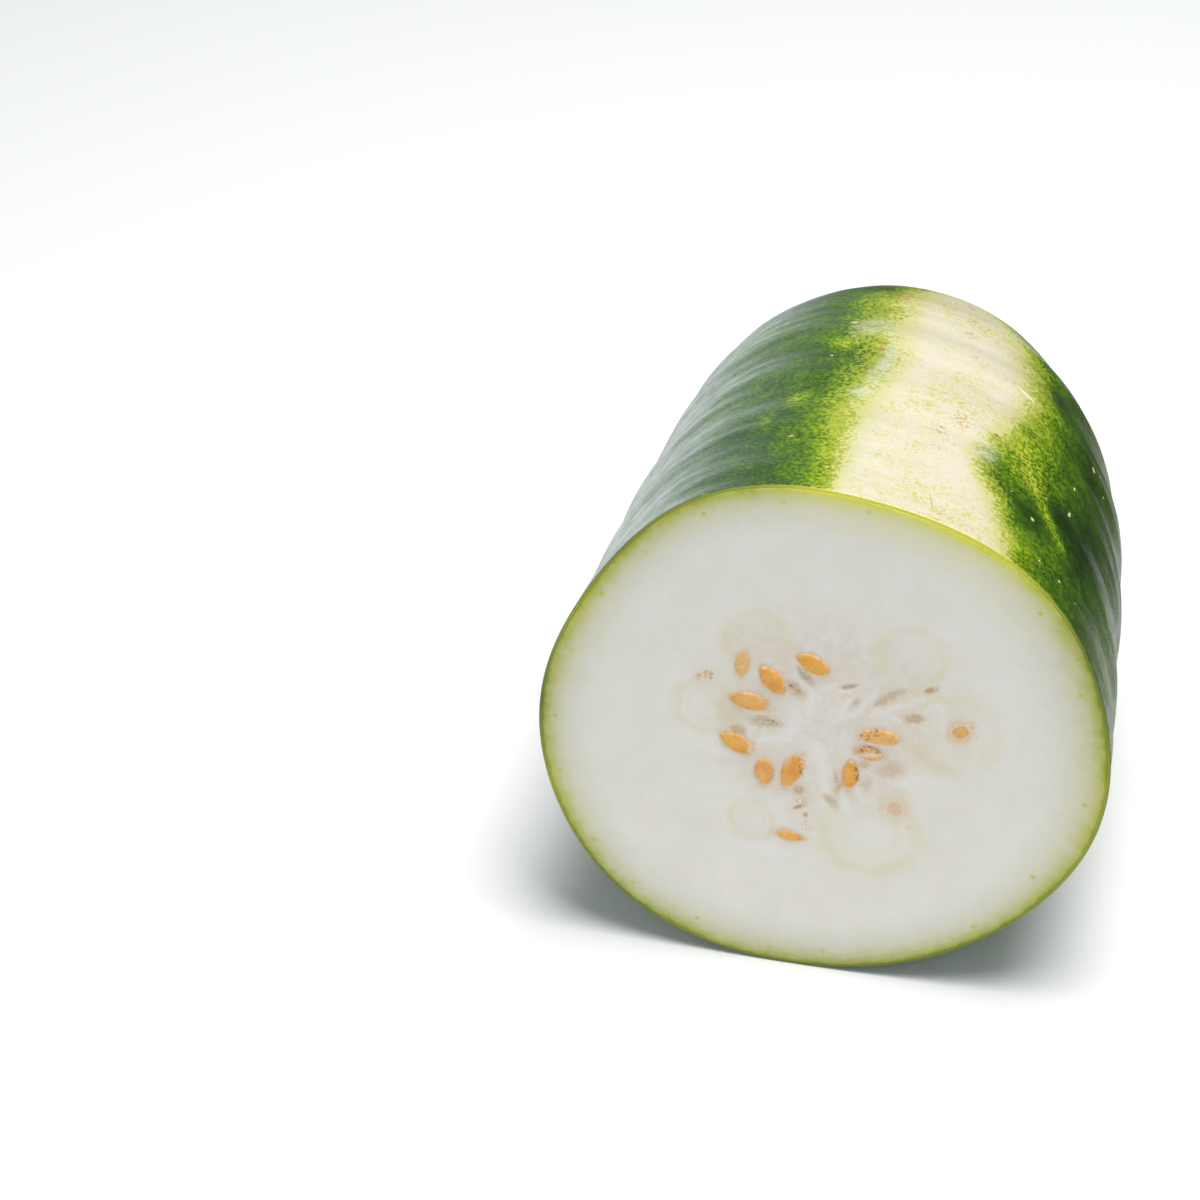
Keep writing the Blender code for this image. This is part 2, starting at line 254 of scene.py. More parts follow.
# White strands of the core, each from one point of the cut to another, with its half width
STRANDS = from_millimetres((0, 1, 2, 3, 4),
    (-2.8, 18.7, -4.5, 10.1, 1.3), (-7.3, 9.7, -9.6, -0.6, 1.5), (-8.9, -1.2, -17.7, -2.3, 1),
    (-17.7, -3.1, -21.3, -7.1, 0.8), (5.5, 10.3, 9.4, 16.9, 0.7), (10.1, 10.3, 14.2, 19.2, 0.7),
    (12.7, 13, 16.5, 21.8, 0.7), (15.3, 11.9, 25.7, 17.4, 0.8), (25.7, 17.4, 31.6, 20.6, 0.7),
    (18.3, 13.9, 24.6, 11.3, 0.7), (32, 16.2, 36.3, 19.6, 0.8), (36.6, 19.6, 38.4, 8.7, 0.6),
    (13.4, 1.8, 25.3, 1.2, 0.5), (12.5, -3.3, 19.9, -1.6, 0.5), (16.1, -9.9, 26.2, -12.4, 0.8),
    (26.2, -12.4, 33.7, -8.4, 1), (12.6, -15.1, 14.8, -20.2, 0.7), (8.8, -19.3, 11.4, -26.6, 0.8),
    (0.6, -3.4, 3.3, -18.3, 1.2), (-0.6, 19, 4.2, 21.3, 0.6), (-21.3, -44.4, -6.7, -45.7, 0.9),
    (4, 7.8, 9.2, 10.9, 0.7), (-37.1, -8.3, -24.3, -10, 0.9),
)
STRAND_HEIGHT = 0.0001

# Faint rounded lobes of the core: right, up, radius
LOBES = from_millimetres((0, 1, 2),
    (-20.9, 34.2, 11), (-36.1, 7.5, 11), (26.7, 34.2, 12), (40.1, 9, 15.5), (39.7, 3.3, 7.5),
    (18.1, -33.3, 17.5), (-19.5, -33.7, 8.5),
)

# Green vessel ends near the rim: bearing in degrees, distance from the axis, strength
VESSELS = from_millimetres((1,),
    (117, 85.9, 1), (100, 85.6, 0.5), (83, 85.2, 0.5), (133, 82.7, 0.5), (148, 82.1, 1),
    (165, 81.5, 0.5), (-177, 83.9, 1), (-163, 85.8, 0.8), (-144, 86.9, 0.8), (-131, 87.6, 0.8),
    (-115, 84.6, 0.8), (-98, 85, 0.6), (-86, 82.7, 0.6), (-50, 82.8, 1), (-30, 80.9, 1),
    (-7, 83.7, 0.8), (21, 83.7, 1), (42, 85.4, 1),
)
VESSEL_RADIUS = 0.0009

# Where the cut edge of the skin is pale yellow, 1, and where dark green, 0: places round it
EDGE_ANGLES = (
    -180, -160, -135, -110, -90, -45, -20, 0, 15, 30, 45, 55, 62, 92, 98, 105, 120, 135, 155, 180,
)
EDGE_PALENESS = (
    0.0, 0.35, 0.0, 0.15, 0.0, 0.1, 0.3, 0.3, 0.1, 0.05, 0.45, 0.9, 1.0, 1.0, 0.7, 0.35, 0.25,
    0.15, 0.35, 0.0,
)

# Corky marks on the skin: bearing in degrees, distance along, length, width, turn in degrees, tone
# (tone 0 or less is pale, 1 is brown)
MARKS = skin_ovals(
    (99.5, 123.5, 3.2, 2.4, 20, 0.45), (98.5, 111, 2.2, 1.4, 0, 0.7), (97.2, 106.5, 1.4, 1, 0, 0.6),
    (91.3, 103.7, 2.6, 1.6, 30, 0.9), (103, 35.5, 2.2, 1.4, -20, 0.7), (90, 153, 4.2, 6, 5, 0.75),
    (57.2, 109.8, 8.8, 1.6, 24, 0.6), (57.1, 108.7, 9.2, 2.2, 24, -0.8),
    (72.2, 10.8, 11, 0.5, 75, 0.6), (33, 107.2, 2.6, 1.6, 40, 0.5), (40.6, 76.5, 0.9, 2, 0, 0.2),
    (41.2, 58.5, 1.4, 3.4, 8, 0.2), (51.2, 33, 1.8, 1.5, 30, 0.3), (42, 14, 1.4, 1.3, 0, 0.1),
    (48, 13, 1.1, 1, 0, 0.2), (62.6, 69, 2.2, 1.6, 60, 1), (59.7, 66, 1.8, 1.4, 0, 1),
    (74.5, 60, 1.2, 1, 0, 0.7), (74.5, 56, 1.4, 1.6, 0, 0.6), (57.2, 131, 2, 1.6, 30, 0.8),
    (71.5, 146.7, 1.4, 0.9, 0, 0.7),
)

# Brownish stains in the pale spot: bearing in degrees, distance along, length, width, turn, amount
STAINS = skin_ovals(
    (70.5, 68, 6, 8, 0, 1), (66.5, 70, 6, 3, 0, 0.5), (74.5, 58, 4, 7, 0, 0.6),
    (71, 51, 4, 3, 0, 0.6), (73.5, 45, 8, 3, 0, 0.5), (83, 102, 3, 2, 0, 0.6),
    (70.5, 116, 3, 3, 0, 0.6), (71.5, 147, 5, 5, 0, 0.8), (72, 135, 5, 5, 0, 0.7),
    (71, 168, 4, 8, 0, 0.8), (67, 155, 6, 8, 0, 0.4), (60, 132, 8, 6, 0, 0.5),
    (59.5, 110, 6, 3, 20, 0.6), (91, 104, 5, 4, 0, 0.5),
)

# Rings of a mark from its middle to its hidden underside: share of its width, lift
MARK_HEIGHT = 0.00018
MARK_WIDTHS = np.array((0.35, 0.7, 1.0, 0.6))
MARK_LIFTS = MARK_HEIGHT * np.array((0.95, 0.6, -0.4, -1.5))
MARK_UNDERSIDE = -1.6 * MARK_HEIGHT

# Small specks strewn over the skin
SPECK_SEED = 11
SPECK_COUNT = 90
SPECK_LENGTHS = (0.0005, 0.0014)
SPECK_REACH = (0.008, 0.205)

# Camera, floor and the dim light of the room
CAMERA_FROM_CUT = Vector((0.09788, -0.75704, 0.6367))
CAMERA_TURN = (radians(52.5767), 0.0, radians(12.4548))
CAMERA_LENS_MM = 96
SENSOR_WIDTH_MM = 36
FLOOR_SIZE = 12.0
FLOOR_GAP = 0.0002
ROOM_COLOUR = (0.87, 0.95, 1.0, 1.0)
ROOM_STRENGTH = 0.31
MELON_MIDDLE = (0.0, 0.0, 0.08)

# Lights: name, place, aim, width and depth, power, colour
LAMPS = (
    ("top", (0.15, -0.1, 1.4), MELON_MIDDLE, (0.8, 0.8), 22.0, (1.0, 0.99, 0.98)),
    ("front", (-0.5, -1.9, 1.0), MELON_MIDDLE, (1.4, 1.4), 4.4, (1.0, 0.99, 0.98)),
)
FLOOR_GLOW = (
    "floor glow", (-0.66, 0.62, 0.002), (-0.66, 0.62, 1.0), (1.0, 1.0), 3.1, (0.88, 0.95, 1.0),
)

# Dark cards: one on the floor on the right, one on the floor behind, and one standing behind
DARK_CARDS = (
    ((0.165, -0.4, 0.001), (2.0, -0.4, 0.001), (2.0, 2.0, 0.001), (0.0, 2.0, 0.001),
     (0.06, 0.6, 0.001), (0.1, 0.3, 0.001), (0.165, 0.13, 0.001)),
    ((-0.13, 0.4, 0.001), (0.04, 0.4, 0.001), (0.0, 1.6, 0.001), (-0.45, 1.6, 0.001)),
    ((-0.15, 1.6, 0.0), (2.0, 0.6, 0.0), (2.0, 0.6, 1.6), (-0.15, 1.6, 1.6)),
)

# Sockets of the shader that take one number for the whole surface
SHADER_SOCKETS = ("Specular IOR Level", "Subsurface Weight", "Subsurface Scale")

# Colours of the skin; a scale of colours gives a position and a colour in each row
SKIN_GREENS = (
    (0.1, 0.014, 0.036, 0.006), (0.36, 0.042, 0.098, 0.008), (0.56, 0.105, 0.21, 0.006),
    (0.74, 0.23, 0.32, 0.008), (0.95, 0.43, 0.45, 0.05),
)
SPOT_CREAMS = (
    (0.2, 0.672, 0.625, 0.505), (0.42, 0.658, 0.608, 0.455),
    (0.56, 0.62, 0.575, 0.325), (0.74, 0.475, 0.485, 0.1),
)
SCAR_BROWNS = ((0.1, 0.13, 0.085, 0.035), (0.9, 0.33, 0.25, 0.13))
# Bluish grey laid thinly over the calmest green: painted reflection haze, not a colour of the skin
PAINTED_HAZE = (0.24, 0.3, 0.42)
YELLOW_GREEN = (0.35, 0.4, 0.04)
OLIVE_YELLOW = (0.56, 0.545, 0.2)
STAIN_BROWN = (0.5, 0.3, 0.08)
WAX_WHITE = (0.6, 0.6, 0.525)
TIP_RING = (0.26, 0.28, 0.05)
CUT_EDGE_GREEN = (0.12, 0.18, 0.012)
CUT_EDGE_YELLOW = (0.7, 0.68, 0.05)
CORK_TONES = (
    (0.0, 0.68, 0.66, 0.42), (0.2, 0.52, 0.53, 0.25),
    (0.55, 0.56, 0.4, 0.17), (1.0, 0.28, 0.15, 0.06),
)

# Colours of the flesh and of its spongy middle
FLESH_WHITES = ((0.0, 0.762, 0.74, 0.68), (1.0, 0.796, 0.776, 0.725))
CORE_CREAMS = ((0.1, 0.725, 0.67, 0.6), (0.5, 0.75, 0.7, 0.635), (0.9, 0.785, 0.75, 0.7))
HOLLOW_BROWNS = ((0.0, 0.735, 0.64, 0.51), (0.7, 0.68, 0.56, 0.435), (0.9, 0.65, 0.48, 0.3))
LOBE_YELLOW = (0.725, 0.695, 0.52)
CORE_TAN = (0.72, 0.62, 0.48)
STRAND_WHITE = (0.8, 0.795, 0.775)
HALO_TAN = (0.7, 0.5, 0.27)
RAGGED_BROWN = (0.66, 0.42, 0.21)
DARK_SPECK = (0.2, 0.15, 0.045)
VESSEL_GREEN = (0.47, 0.53, 0.06)
GREEN_RIM = (
    (0.0, 0.21, 0.275, 0.022), (0.05, 0.37, 0.4, 0.08), (0.1, 0.44, 0.46, 0.14),
    (0.15, 0.5, 0.51, 0.235), (0.2, 0.565, 0.557, 0.325), (0.3, 0.63, 0.62, 0.455),
    (0.4, 0.672, 0.664, 0.537), (0.55, 0.715, 0.702, 0.62), (0.9, 0.76, 0.747, 0.695),
)
PALE_RIM = (
    (0.0, 0.64, 0.645, 0.05), (0.05, 0.72, 0.69, 0.12), (0.1, 0.7, 0.7, 0.22),
    (0.15, 0.7, 0.694, 0.32), (0.2, 0.709, 0.702, 0.385), (0.3, 0.734, 0.717, 0.49),
    (0.4, 0.742, 0.726, 0.557), (0.65, 0.757, 0.742, 0.62), (1.0, 0.772, 0.757, 0.69),
)

# Colours of the seeds
SEED_TANS = ((0.1, 0.73, 0.32, 0.045), (0.45, 0.79, 0.38, 0.06), (0.85, 0.81, 0.42, 0.085))
SEED_FIBRE = (0.66, 0.28, 0.04)
SEED_FLESH = (0.74, 0.65, 0.54)
SEED_SPECK = (0.2, 0.12, 0.03)
SEED_STRAND = (0.78, 0.73, 0.66)


def outline_factor(angle):
    """Radius of the cut's outline in each direction, as a share of the plain circle's."""
    factor = np.ones_like(angle)
    for wave_number, (cosine, sine) in OUTLINE_WAVES.items():
        factor += cosine * np.cos(wave_number * angle) + sine * np.sin(wave_number * angle)
    return factor


def turned_by(angle, bearing):
    """Signed turn from a direction given in degrees, between minus and plus half a turn."""
    return np.angle(np.exp(1j * (angle - radians(bearing))))


def in_degrees(angle):
    return np.degrees(turned_by(angle, 0))


def swell_height(angle, along):
    """Height of the swells and of the waves, which wander a little as they run round."""
    height = np.zeros_like(angle)
    for bearing, place, reach, top in SWELLS:
        distance = np.hypot(CUT_RADIUS * turned_by(angle, bearing), along - place)
        height += top * np.exp(-((distance / reach) ** 2))
    wander = 0.8 * np.sin(2 * angle) + 0.5 * np.sin(5 * angle + 1)
    phase = 2 * np.pi * along / WAVE_LENGTH + wander
    fade = 1 - np.exp(-((along / WAVE_FADE_IN) ** 2))
    underside = np.exp(-((turned_by(angle, -90) / UNDERSIDE_REACH) ** 2))
    return (1 - underside) * (height + WAVE_HEIGHT * fade * np.sin(phase))


def tip_relief(radius):
    """Depth of the blossom end's dimple, less the height of its scar."""
    dimple = DIMPLE_DEPTH * np.exp(-((radius / DIMPLE_RADIUS) ** 2))
    scar = SCAR_HEIGHT / (1 + np.exp((radius - SCAR_RADIUS) / SCAR_EDGE))
    return dimple - scar


def noise_at(places, wave_lengths, offset):
    """Smooth noise between about -1 and 1 at each place, with one wave length or one per axis."""
    scaled = places / np.array(wave_lengths) + offset
    heights = [noise.noise(Vector(place)) for place in scaled.reshape(-1, 3)]
    return np.array(heights).reshape(scaled.shape[:-1])


def radius_at(along):
    """Radius of the plain turned shape at a distance along its axis."""
    share = np.clip(along / HALF_LENGTH, 0, 1)
    return CUT_RADIUS * (1 - TAPER * share) * (1 - share ** END_SQUARENESS) ** (1 / END_ROUNDNESS)


def side_profile(ring_count):
    """Radius and distance along the axis, evenly spaced from the rim to the blossom end."""
    along = HALF_LENGTH * np.sin(np.linspace(0.0, 0.5 * np.pi, PROFILE_STEPS))
    radius = radius_at(along)
    travelled = np.concatenate(([0.0], np.cumsum(np.hypot(np.diff(radius), np.diff(along)))))
    stops = np.linspace(0.0, travelled[-1], ring_count + 1)
    return np.interp(stops, travelled, radius), np.interp(stops, travelled, along)


def grown_places(angle, along, radius, lift):
    """Places in the growing frame of points of the turned shape, moved outwards by lift."""
    share = along / HALF_LENGTH
    lasting = np.clip(1 - share, FURTHEST_OUTLINE_SHARE, 1)
    factor = 1 + (outline_factor(angle) - 1) * lasting
    full = np.clip(radius / EVEN_TIP_RADIUS, 0, 1)
    new_radius = np.maximum(radius * factor + (swell_height(angle, along) + lift) * full, 0)
    wander_right = HALF_LENGTH * (SIDE_LEAN * share + SIDE_BEND * share ** 2)
    wander_up = HALF_LENGTH * UPWARD_BEND * share ** 2
    on_tip = along > 0.5 * HALF_LENGTH
    tip_lift = lift * (1 - full) - tip_relief(radius)
    return np.stack((
        new_radius * np.cos(angle) + wander_right,
        along + np.where(on_tip, tip_lift, 0.0),
        new_radius * np.sin(angle) + wander_up,
    ), axis=-1)


def skin_relief(angle, along, radius):
    """Height of the fine waves that run round the skin, none of it above the solid's surface."""
    places = grown_places(angle, along, radius, 0.0)
    fade = 1 - np.exp(-((along / SKIN_WAVE_FADE_IN) ** 2))
    relief = np.full_like(angle, -SKIN_INSET)
    for number, (along_length, round_length, height) in enumerate(SKIN_WAVES):
        lengths = (round_length, along_length, round_length)
        waves = noise_at(places, lengths, 10.0 * number + 3.7)
        relief += fade * height * (waves - 0.5)
    return relief


def skin_places(angle, along, radius, inset=0.0):
    """Places on the skin, or under it by the inset, in the growing frame."""
    return grown_places(angle, along, radius, skin_relief(angle, along, radius) - inset)


def to_part_frame(places):
    """Places of the growing frame in the part's frame, none of them outside the solid's box."""
    rotation = np.array(GROWING_TO_PART.to_3x3())
    moved = places @ rotation.T + np.array(GROWING_TO_PART.translation)
    return np.clip(moved, SOLID_LOW, SOLID_HIGH)


def closed_faces(ring_count, steps):
    """Faces of a shape of rings that starts and ends in one point."""
    faces = []
    first, last = 0, 1 + ring_count * steps
    for step in range(steps):
        following = (step + 1) % steps
        faces.append((first, 1 + following, 1 + step))
        end = 1 + (ring_count - 1) * steps
        faces.append((last, end + step, end + following))
        for ring in range(ring_count - 1):
            here = 1 + ring * steps
            there = here + steps
            faces.append((here + step, here + following, there + following, there + step))
    return faces


def add_object(name, data):
    """An object with the given data, linked into the scene."""
    added = bpy.data.objects.new(name, data)
    bpy.context.scene.collection.objects.link(added)
    return added


def add_piece(name, places, faces, material, values):
    """A smooth mesh piece of the melon, with named values at its points for the material."""
    mesh = bpy.data.meshes.new(name)
    mesh.from_pydata(to_part_frame(places).tolist(), [], faces)
    for value_name, numbers in values.items():
        attribute = mesh.attributes.new(value_name, "FLOAT", "POINT")
        attribute.data.foreach_set("value", np.asarray(numbers, np.float32))
    mesh.shade_smooth()
    mesh.materials.append(material)
    mesh.update()
    piece = add_object(name, mesh)
    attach(piece, "root")
    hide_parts("winter_melon_half")
    return piece


def with_poles(rings, start, end):
    """A list of all values on the rings, between the values of the two end points."""
    return np.concatenate(([start], rings.reshape(-1, *rings.shape[2:]), [end]))


def spot_border(angle, along, radius):
    """How far inside the ground spot a point is, in metres, and how soft the border is there."""
    bearing = in_degrees(angle)
    left = np.interp(along, *np.transpose(SPOT_LEFT))
    right = np.interp(along, *np.transpose(SPOT_RIGHT))
    arc = radians(1) * np.maximum(radius, SMALLEST_TURN_RADIUS)
    from_left = (left - bearing) * arc
    from_right = (bearing - right) * arc
    depth = np.minimum(np.minimum(from_left, from_right), SPOT_END - along)
    soft_left = np.interp(along, *np.transpose(SOFT_LEFT))
    soft_right = np.interp(along, *np.transpose(SOFT_RIGHT))
    softness = np.where(from_left < from_right, soft_left, soft_right)
    return np.clip(depth, -SPOT_LIMIT, SPOT_LIMIT), softness


def patch_amount(angle, along, radius, patches):
    """Sum of soft oval patches of the skin, each with its own amount."""
    amount = np.zeros_like(angle)
    for patch_degrees, place, length, width, turn, strength in patches:
        around = turned_by(angle, patch_degrees) * np.maximum(radius, SMALLEST_TURN_RADIUS)
        oval = (0.0, 0.0, length, width, turn)
        lengthways, sideways = across_oval(around, along - place, oval)
        amount += strength * np.exp(-(lengthways ** 2 + sideways ** 2))
    return amount


def edge_paleness(angle):
    return np.interp(in_degrees(angle), EDGE_ANGLES, EDGE_PALENESS)


def make_rind(material):
    """The skin as a thin closed shell: a coarse inside, the rounded cut edge and the outside."""
    inner_radius, inner_along = (line[:-1][::-1] for line in side_profile(INNER_RINGS))
    inner_along = inner_along * (1 - SKIN_THICKNESS / HALF_LENGTH)
    radius, along = (line[1:-1] for line in side_profile(RIND_RINGS))
    quarter = np.linspace(0.0, 0.5 * np.pi, EDGE_RINGS)
    edge_along = EDGE_ROUNDING * (1 - np.cos(quarter))
    edge_inset = EDGE_ROUNDING * (1 - np.sin(quarter))
    rings = np.concatenate((
        (inner_along, inner_radius, SKIN_THICKNESS + 0 * inner_along, 1 + 0 * inner_along),
        (edge_along, CUT_RADIUS + 0 * edge_along, edge_inset, np.linspace(1, 0, EDGE_RINGS)),
        (along, radius, 0 * along, 0 * along),
    ), axis=1)
    along, radius, inset, inside = np.repeat(rings[:, :, None], RIND_STEPS, axis=2)
    angle = np.linspace(0, 2 * np.pi, RIND_STEPS, endpoint=False) + 0 * along
    tip_along = HALF_LENGTH - float(tip_relief(np.zeros(1))[0]) - SKIN_INSET
    inner_tip = (TIP_RIGHT, tip_along - SKIN_THICKNESS, TIP_UP)
    outer_tip = (TIP_RIGHT, tip_along, TIP_UP)
    places = with_poles(skin_places(angle, along, radius, inset), inner_tip, outer_tip)
    depth, softness = spot_border(angle, along, radius)
    calm = np.interp(in_degrees(angle), CALM_ANGLES, CALMNESS)
    tip_distance = np.where(along > 0.5 * HALF_LENGTH, radius, 1.0)
    values = {
        "spot_depth": with_poles(depth, -SPOT_LIMIT, -SPOT_LIMIT),
        "softness": with_poles(softness, 0, 0),
        "paleness": with_poles(edge_paleness(angle), 0, 0),
        "calm": with_poles(calm, 0.5, 0.5),
        "inside": with_poles(inside, 1, 0),
        "tip_distance": with_poles(tip_distance, 0, 0),
    }
    for name, patches in (("wax", WAX_PATCHES), ("tint", TINTS), ("stain", STAINS)):
        values[name] = with_poles(patch_amount(angle, along, radius, patches), 0, 0)
    faces = closed_faces(rings.shape[1], RIND_STEPS)
    return add_piece("melon_rind", places, faces, material, values)


def turned(first, second, degrees):
    """Two lengths at right angles, turned by an angle in degrees."""
    cosine, sine = np.cos(radians(degrees)), np.sin(radians(degrees))
    return first * cosine - second * sine, first * sine + second * cosine


def across_oval(right, up, oval):
    """Distances from an oval's centre, along it and across it, in units of its edge."""
    centre_right, centre_up, length, width, turn = oval
    lengthways, sideways = turned(right - centre_right, up - centre_up, -turn)
    return lengthways / (0.5 * length), sideways / (0.5 * width)


def smooth_step(value, low, high):
    share = np.clip((value - low) / (high - low), 0, 1)
    return share * share * (3 - 2 * share)


def strand_amount(right, up, wobble):
    """How much of a point is white strand, from 0 to 1."""
    amount = np.zeros_like(right)
    for from_right, from_up, to_right, to_up, half_width in STRANDS:
        run = np.array((to_right - from_right, to_up - from_up))
        share = ((right - from_right) * run[0] + (up - from_up) * run[1]) / (run @ run)
        share = np.clip(share, 0, 1)
        distance = np.hypot(right - from_right - share * run[0], up - from_up - share * run[1])
        width = half_width * (1.1 + 0.9 * np.sin(np.pi * share))
        amount = np.maximum(amount, np.exp(-(((distance + 0.0005 * wobble) / width) ** 2)))
    return amount


def oval_amount(right, up, ovals, inner, outer, wobble=0.0):
    """How much a point lies in any of the ovals, each of which has its own strength."""
    amount = np.zeros_like(right)
    for *oval, strength in ovals:
        lengthways, sideways = across_oval(right, up, oval)
        across = np.hypot(lengthways, sideways) + wobble
        amount = np.maximum(amount, strength * (1 - smooth_step(across, inner, outer)))
    return amount


def cut_relief(right, up):
    """Height of the cut's surface and the values that colour it."""
    flat_places = np.stack((right, np.zeros_like(right), up), axis=-1)
    fine = noise_at(flat_places, *FINE_GRAIN)
    medium = noise_at(flat_places, *MEDIUM_GRAIN)
    broad = noise_at(flat_places, *BROAD_GRAIN)
    from_core = np.hypot(right - CORE_CENTRE[0], up - CORE_CENTRE[1])
    core = 1 - smooth_step(from_core + 0.004 * broad, 0.6 * CORE_RADIUS, 1.0 * CORE_RADIUS)
    height = 0.00003 * fine + 0.00006 * broad
    height += core * (0.00003 * fine + 0.00012 * medium - 0.0002)

    lobe = np.zeros_like(right)
    for lobe_right, lobe_up, lobe_radius in LOBES:
        distance = np.hypot(right - lobe_right, up - lobe_up) / lobe_radius
        distance = distance + 0.16 * medium + 0.1 * broad
        ring = np.exp(-(((distance - 0.86) / 0.17) ** 2))
        inner_ring = 0.5 * np.exp(-(((distance - 0.5) / 0.12) ** 2))
        lobe = np.maximum(lobe, np.maximum(ring, inner_ring) * (0.7 + 0.6 * broad))
    height += 0.0001 * lobe

    strand = strand_amount(right, up, medium)
    pit = np.zeros_like(right)
    for *oval, _ in HOLLOWS:
        across = np.hypot(*across_oval(right, up, oval)) + 0.2 * medium + 0.1 * fine
        pit = np.maximum(pit, np.clip(1 - across ** 2, 0, 1) ** 1.2)
    height -= HOLLOW_DEPTH * pit * (1 - 0.75 * strand)
    height += STRAND_HEIGHT * strand

    halo = np.zeros_like(right)
    for *oval, _, veil in SEEDS:
        lengthways, sideways = across_oval(right, up, oval)
        narrowing = 1 - SEED_POINTEDNESS * np.clip(lengthways, 0, 1)
        across = np.hypot(lengthways, sideways / narrowing) + 0.22 * medium + 0.12 * fine
        halo = np.maximum(halo, (1 - veil) * (1 - smooth_step(across, 0.9, 1.5)))
        around_seed = 1 - smooth_step(across, 0.9, 1.3)
        height = height * (1 - around_seed) + around_seed * (0.00008 * fine + 0.00012 * medium)
    wobble = 0.25 * medium + 0.2 * fine
    brown = oval_amount(right, up, HOLLOWS + BROWN_PATCHES, 0.3, 1.4, wobble)
    tan = oval_amount(right, up, TAN_PATCHES, 0.2, 1.5, 0.35 * medium)
    values = {
        "core": core,
        "lobe": lobe,
        "strand": strand,
        "brown": brown,
        "tan": tan,
        "dark": oval_amount(right, up, DARK_PATCHES, 0.5, 1.3),
        "ragged": oval_amount(right, up, RAGGED_PATCHES, 0.3, 1.4),
        "halo": halo,
    }
    return height, values


def make_flesh(material):
    """The flesh as one closed body: its cut face in full detail, its hidden side plain."""
    turn = np.linspace(0, 2 * np.pi, FLESH_STEPS, endpoint=False)
    rim = skin_places(turn, 0 * turn, CUT_RADIUS + 0 * turn, SKIN_THICKNESS)
    shares = np.concatenate((
        np.linspace(1.0, CORE_MESH_SHARE, OUTER_RINGS, endpoint=False),
        np.linspace(CORE_MESH_SHARE, 0.0, CORE_RINGS, endpoint=False),
    ))
    right = CORE_CENTRE[0] + np.outer(shares, rim[:, 0] - CORE_CENTRE[0])
    up = CORE_CENTRE[1] + np.outer(shares, rim[:, 2] - CORE_CENTRE[1])
    right = np.append(right.ravel(), CORE_CENTRE[0])
    up = np.append(up.ravel(), CORE_CENTRE[1])
    height, values = cut_relief(right, up)
    point_turn = np.arctan2(up, right) % (2 * np.pi)
    rim_radius = np.hypot(rim[:, 0], rim[:, 2])
    rim_here = np.interp(point_turn, turn, rim_radius, period=2 * np.pi)
    rim_distance = rim_here - np.hypot(right, up)
    height = height * smooth_step(rim_distance, 0.0, RELIEF_FADE_IN)
    reach = RIM_REACH * np.interp(in_degrees(point_turn), RIM_REACH_ANGLES, RIM_REACHES)
    values["rim"] = rim_distance / reach
    values["paleness"] = edge_paleness(point_turn)
    face = np.stack((right, -height, up), axis=-1)

    back_radius, back_along = (line[1:-1][::-1] for line in side_profile(FLESH_BACK_RINGS))
    angle, along_grid = np.meshgrid(turn, back_along * (1 - END_GAP / HALF_LENGTH))
    radius_grid = np.repeat(back_radius[:, None], FLESH_STEPS, axis=1)
    hidden = skin_places(angle, along_grid, radius_grid, SKIN_THICKNESS + GAP_BEHIND_SKIN)
    tip = (TIP_RIGHT, HALF_LENGTH - DIMPLE_DEPTH - FLESH_TIP_INSET, TIP_UP)
    places = np.concatenate(([tip], hidden.reshape(-1, 3), face))
    on_back = np.zeros(len(places) - len(face))
    values = {name: np.append(on_back, on_face) for name, on_face in values.items()}
    faces = closed_faces(len(back_along) + len(shares), FLESH_STEPS)
    return add_piece("melon_flesh", places, faces, material, values)


def seed_places(oval, proud, number):
    """One flat seed with a low ridge round its margin, and how near each point is to the margin.

    The rings run from the seed's face to its back.
    """
    centre_right, centre_up, length, width, turn = oval
    turn_round = np.linspace(0, 2 * np.pi, SEED_STEPS, endpoint=False)
    slope = np.linspace(0.5 * np.pi, -0.5 * np.pi, SEED_RINGS + 2)[1:-1]
    slope_grid, round_grid = np.meshgrid(slope, turn_round, indexing="ij")
    across = np.cos(slope_grid) ** 0.9
    lengthways = across * np.cos(round_grid)
    narrowing = 1 - SEED_POINTEDNESS * np.clip(lengthways, 0, 1) ** 1.6
    sideways = across * np.sin(round_grid) * narrowing
    ridge = 0.08 * np.exp(-(((across - 0.8) / 0.09) ** 2))
    full = np.sign(np.sin(slope_grid)) * np.abs(np.sin(slope_grid)) ** 0.85
    out = full * (0.88 + ridge) * 0.5 * SEED_THICKNESS
    half_length, half_width = 0.5 * length, 0.5 * width
    local = np.stack((half_length * lengthways, half_width * sideways, out), axis=-1)
    top = np.array((0.0, 0.0, 0.44 * SEED_THICKNESS))
    local = with_poles(local, top, -top)
    local[:, 2] += 0.00014 * noise_at(local + number, 0.0035, 1.7)
    right, up = turned(local[:, 0], local[:, 1], turn)
    inwards = 0.5 * SEED_THICKNESS - proud - local[:, 2]
    places = np.stack((centre_right + right, inwards, centre_up + up), axis=-1)
    return places, np.hypot(local[:, 0] / half_length, local[:, 1] / half_width)


def joined(shapes):
    """The places and faces of several shapes as one list of each."""
    faces = []
    start = 0
    for shape_places, shape_faces in shapes:
        faces += [tuple(start + index for index in face) for face in shape_faces]
        start += len(shape_places)
    return np.concatenate([shape_places for shape_places, _ in shapes]), faces


